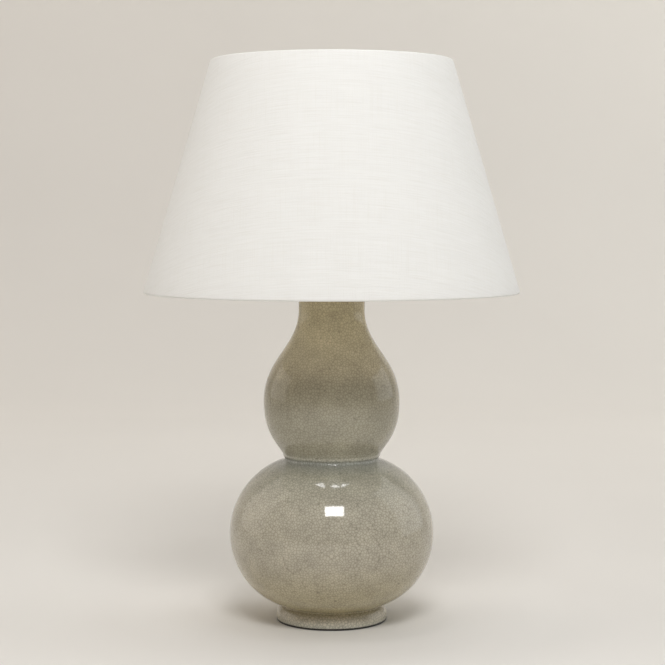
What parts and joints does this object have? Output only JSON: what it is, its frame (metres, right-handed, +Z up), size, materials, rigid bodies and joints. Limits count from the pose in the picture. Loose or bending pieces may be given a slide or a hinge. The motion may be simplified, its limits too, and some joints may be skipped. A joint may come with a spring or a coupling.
{
  "type": "table lamp",
  "caption": "Double gourd table lamp with a crackle-glazed ceramic base on a low foot, a harp-carried empire shade and a switched lampholder.",
  "frame": {"origin": "where the lamp's axis meets the surface it stands on", "axes": "+Z up along the lamp's axis; -Y is the front; the lead's inlet is at the back, +Y; the switch points to +X"},
  "size_m": [0.4484, 0.4484, 0.6784],
  "materials": {
    "felt": "black wool felt",
    "crackle_glaze": "glossy grey-green glaze with a fine crackle",
    "grommet_rubber": "matt black rubber",
    "plated_steel": "zinc-plated",
    "lamp_brass": "satin brass, lightly lacquered",
    "contact_brass": "bright stamped brass",
    "liner_board": "insulating board",
    "phenolic": "moulded phenolic",
    "linen": "off-white linen",
    "liner_plastic": "white hard backing",
    "spider_paint": "white powder coat",
    "knob_plastic": "black ribbed knob",
    "solder": "dull solder",
    "insulator_glass": "black insulating glass",
    "bulb_cap_metal": "rolled threads",
    "bulb_frost": "frosted inside",
    "bulb_stem_glass": "clear",
    "tungsten": "fine coil"
  },
  "bodies": {
    "base": {"base_pad": "felt", "gourd_foot": "crackle_glaze", "gourd_lower": "crackle_glaze", "gourd_upper": "crackle_glaze", "cord_grommet": "grommet_rubber", "threaded_tube": "plated_steel", "base_rubber_washer": "grommet_rubber", "base_washer": "plated_steel", "base_nut": "plated_steel", "neck_gasket": "felt", "neck_cap": "lamp_brass", "neck_column": "lamp_brass", "lock_nut": "lamp_brass", "harp_saddle": "lamp_brass", "harp_bow": "lamp_brass", "lampholder_cup": "lamp_brass", "lampholder_shell": "lamp_brass", "lampholder_cardboard": "liner_board", "lampholder_core": "phenolic", "terminal_screws": "lamp_brass", "screw_shell": "contact_brass", "centre_contact": "contact_brass", "switch_leaf": "contact_brass", "switch_collar": "lamp_brass"},
    "harp_sleeve_front": {"harp_sleeve_front": "lamp_brass"},
    "harp_sleeve_back": {"harp_sleeve_back": "lamp_brass"},
    "swivel": {"harp_swivel": "lamp_brass"},
    "shade": {"shade_linen": "linen", "shade_liner": "liner_plastic", "shade_top_ring": "plated_steel", "shade_bottom_ring": "plated_steel", "shade_top_hem": "linen", "shade_bottom_hem": "linen", "shade_spider": "spider_paint"},
    "finial": {"finial": "lamp_brass"},
    "switch": {"switch_shaft": "lamp_brass", "switch_cam": "phenolic", "switch_knob": "knob_plastic"},
    "bulb": {"bulb_contact": "solder", "bulb_insulator": "insulator_glass", "bulb_cap": "bulb_cap_metal", "bulb_glass": "bulb_frost", "bulb_stem": "bulb_stem_glass", "bulb_leads": "plated_steel", "bulb_filament": "tungsten"}
  },
  "joints": [
    {"name": "shade_swivel", "type": "hinge", "parent": "base", "child": "swivel", "pos_m": [0, 0, 0.65], "axis": [0, 0, 1], "continuous": true},
    {"name": "shade_lift", "type": "slide", "parent": "swivel", "child": "shade", "axis": [0, 0, 1], "range_m": [0, 0.3]},
    {"name": "finial_turn", "type": "hinge", "parent": "shade", "child": "finial", "pos_m": [0, 0, 0.66], "axis": [0, 0, 1], "continuous": true},
    {"name": "harp_sleeve_front_lift", "type": "slide", "parent": "base", "child": "harp_sleeve_front", "axis": [0, 0, 1], "range_m": [0, 0.012]},
    {"name": "harp_sleeve_back_lift", "type": "slide", "parent": "base", "child": "harp_sleeve_back", "axis": [0, 0, 1], "range_m": [0, 0.012]},
    {"name": "switch_turn", "type": "hinge", "parent": "base", "child": "switch", "pos_m": [0.02, 0, 0.47], "axis": [1, 0, 0], "continuous": true},
    {"name": "bulb_turn", "type": "hinge", "parent": "base", "child": "bulb", "pos_m": [0, 0, 0.5], "axis": [0, 0, 1], "continuous": true}
  ]
}
